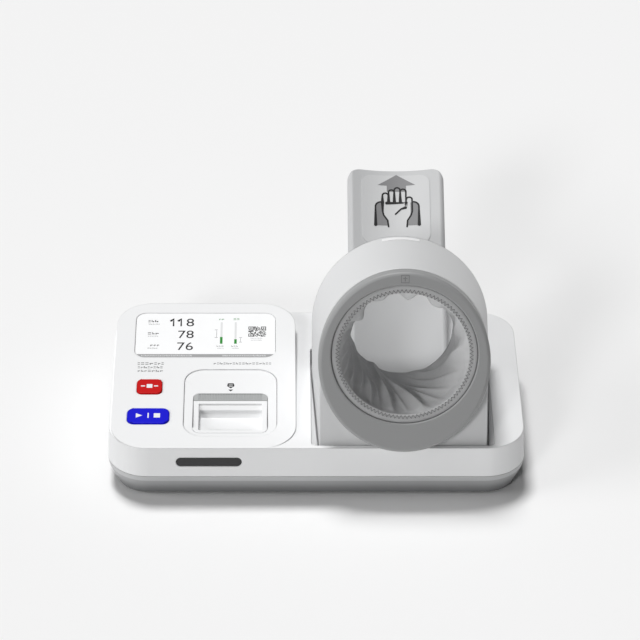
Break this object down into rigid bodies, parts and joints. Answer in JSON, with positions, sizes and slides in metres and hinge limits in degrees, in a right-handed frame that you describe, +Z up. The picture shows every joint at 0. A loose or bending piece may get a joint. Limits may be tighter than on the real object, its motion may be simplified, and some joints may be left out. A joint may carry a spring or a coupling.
{
  "type": "arm-in blood pressure monitor",
  "caption": "Desktop blood pressure monitor: a low base with a screen, keys and a printer, and a tilting arm tunnel with a cloth sleeve and a sloping forearm rest behind it.",
  "frame": {"origin": "on the table, at the middle of the base, on the centre foot", "axes": "+X to the right of the person being measured, along the base's width; +Y away from that person; +Z up"},
  "size_m": [0.461, 0.4105, 0.2569],
  "materials": {
    "white_shell": "fine satin",
    "liner_grey": "matte",
    "rest_grey": "satin",
    "ring_grey": "satin",
    "dark_plastic": "matte",
    "sleeve_fabric": "smooth woven cloth",
    "black_rubber": "matte",
    "steel": "turned",
    "tin_case": "plain",
    "board_green": "solder mask",
    "lens_white": "printed from behind",
    "display_dark": "glossy",
    "key_blue": "satin",
    "key_red": "satin",
    "window_black": "glossy",
    "paper_white": "smooth paper",
    "label_silver": "plain foil"
  },
  "bodies": {
    "base": {"lower_shell": "white_shell", "rubber_feet": "black_rubber", "base_screws": "steel", "upper_shell": "white_shell", "well_pan": "liner_grey", "cradle_bumpers": "black_rubber", "screen_lens": "lens_white", "display_module": "display_dark", "main_board": "board_green", "key_board": "board_green", "pressure_sensor": "dark_plastic", "printer_fascia": "white_shell", "tear_comb": "liner_grey", "print_head": "dark_plastic", "paper_bucket": "liner_grey", "lid_hinge_pins": "steel", "scanner_window": "window_black", "scanner_module": "dark_plastic", "speaker": "dark_plastic", "air_pump": "steel", "exhaust_valve": "dark_plastic", "air_hose": "black_rubber", "power_supply": "tin_case", "power_inlet": "dark_plastic", "switch_frame": "dark_plastic", "pivot_pins": "steel"},
    "arm_unit": {"tilt_cradle": "dark_plastic", "barrel_housing": "white_shell", "bezel_ring": "ring_grey", "rear_cover": "white_shell", "rear_collar": "ring_grey", "cover_screws": "steel", "cuff_drum": "dark_plastic", "air_bladder": "black_rubber", "sleeve_front": "sleeve_fabric", "sleeve_middle": "sleeve_fabric", "sleeve_rear": "sleeve_fabric", "sleeve_hem": "sleeve_fabric", "id_strip": "label_silver", "forearm_rest": "rest_grey", "sign_plate": "rest_grey", "rest_neck": "rest_grey"},
    "start_key": {"start_button": "key_blue"},
    "stop_key": {"stop_button": "key_red"},
    "lid": {"printer_lid": "white_shell"},
    "platen": {"platen_roller": "black_rubber"},
    "roll": {"paper_roll": "paper_white"},
    "rocker": {"power_switch": "dark_plastic"}
  },
  "joints": [
    {"name": "arm_tilt", "type": "hinge", "parent": "base", "child": "arm_unit", "pos_m": [0.095, 0.044, 0.056], "axis": [-1, 0, 0], "range_deg": [0, 12]},
    {"name": "start_press", "type": "slide", "parent": "base", "child": "start_key", "axis": [0, 0.0635, -0.998], "range_m": [0, 0.0012], "stiffness_N_per_m": 800, "springref_m": -0.0005},
    {"name": "stop_press", "type": "slide", "parent": "base", "child": "stop_key", "axis": [0, 0.0635, -0.998], "range_m": [0, 0.0012], "stiffness_N_per_m": 800, "springref_m": -0.0005},
    {"name": "lid_hinge", "type": "hinge", "parent": "base", "child": "lid", "pos_m": [-0.0951, -0.0995, 0.06558], "axis": [1, 0, 0], "range_deg": [0, 80]},
    {"name": "platen_spin", "type": "hinge", "parent": "lid", "child": "platen", "pos_m": [-0.0951, -0.05603, 0.06114], "axis": [1, 0, 0], "continuous": true},
    {"name": "roll_spin", "type": "hinge", "parent": "base", "child": "roll", "pos_m": [-0.0951, -0.07721, 0.03033], "axis": [1, 0, 0], "continuous": true},
    {"name": "power_rock", "type": "hinge", "parent": "base", "child": "rocker", "pos_m": [0.148, 0.13409, 0.04743], "axis": [-1, 0, 0], "range_deg": [0, 20]}
  ]
}
